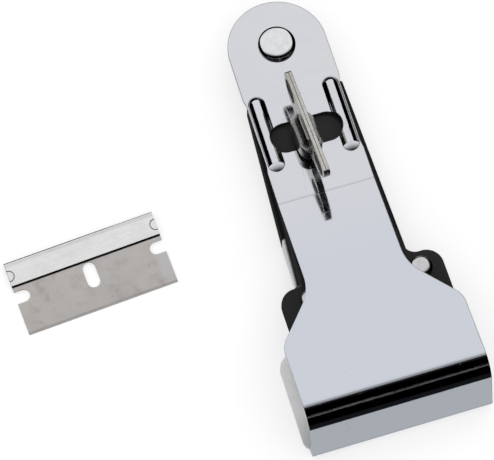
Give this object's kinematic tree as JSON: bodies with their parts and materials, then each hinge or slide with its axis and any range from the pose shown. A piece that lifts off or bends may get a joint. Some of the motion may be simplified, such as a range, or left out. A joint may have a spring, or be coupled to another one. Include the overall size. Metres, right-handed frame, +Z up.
{
  "type": "razor blade scraper",
  "caption": "Pressed-metal razor blade scraper with a swinging hood guard, a wing screw that clamps it, a gripped single-edge blade and a loose spare blade.",
  "frame": {"origin": "centre of the flat underside of the hood's flap, on the table", "axes": "+Y along the handle towards its pivot end, +X to the right seen from above with the hood towards the viewer, +Z up"},
  "size_m": [0.103, 0.1129, 0.0205],
  "materials": {
    "bright_cover": "bright plated",
    "black_paint": "gloss",
    "black_head": "gloss",
    "black_jaw": "satin",
    "rivet_steel": "bright plated",
    "head_rivets": "satin",
    "washer_brass": "satin",
    "wing_steel": "satin",
    "screw_steel": "satin",
    "nut_steel": "satin",
    "blade_steel": "fine ground",
    "backing_steel": "bright"
  },
  "bodies": {
    "handle": {"handle_channel": "black_paint", "pivot_rivet": "rivet_steel", "pivot_washer": "washer_brass", "blade_head": "black_head", "jaw_plate": "black_jaw", "jaw_rivet_left": "head_rivets", "jaw_rivet_right": "head_rivets"},
    "cover": {"cover_plate": "bright_cover"},
    "wing": {"wing_leaf_left": "wing_steel", "wing_leaf_right": "wing_steel", "wing_screw": "screw_steel"},
    "nut": {"square_nut": "nut_steel"},
    "blade": {"fitted_blade": "blade_steel", "fitted_blade_backing": "backing_steel"},
    "spare": {"spare_blade": "blade_steel", "spare_blade_backing": "backing_steel"}
  },
  "joints": [
    {"name": "cover_swing", "type": "hinge", "parent": "handle", "child": "cover", "pos_m": [0, 0.08726, 0.0077], "axis": [0, 0, 1], "range_deg": [-8, 8]},
    {"name": "wing_turn", "type": "hinge", "parent": "handle", "child": "wing", "pos_m": [-0.0007, 0.06066, 0.0077], "axis": [0, 0, 1], "range_deg": [0, 1080]},
    {"name": "nut_travel", "type": "slide", "parent": "handle", "child": "nut", "axis": [0, 0, -1], "range_m": [0, 0.0021]},
    {"name": "blade_slide", "type": "slide", "parent": "handle", "child": "blade", "axis": [0.9999, 0.014, 0], "range_m": [0, 0.045]},
    {"name": "spare_blade_lift", "type": "slide", "parent": "handle", "child": "spare", "axis": [0, 0, 1], "range_m": [0, 0.04]}
  ],
  "couplings": [
    {"joint": "nut_travel", "follows": "wing_turn", "m_per_rad": 0.00011141}
  ]
}
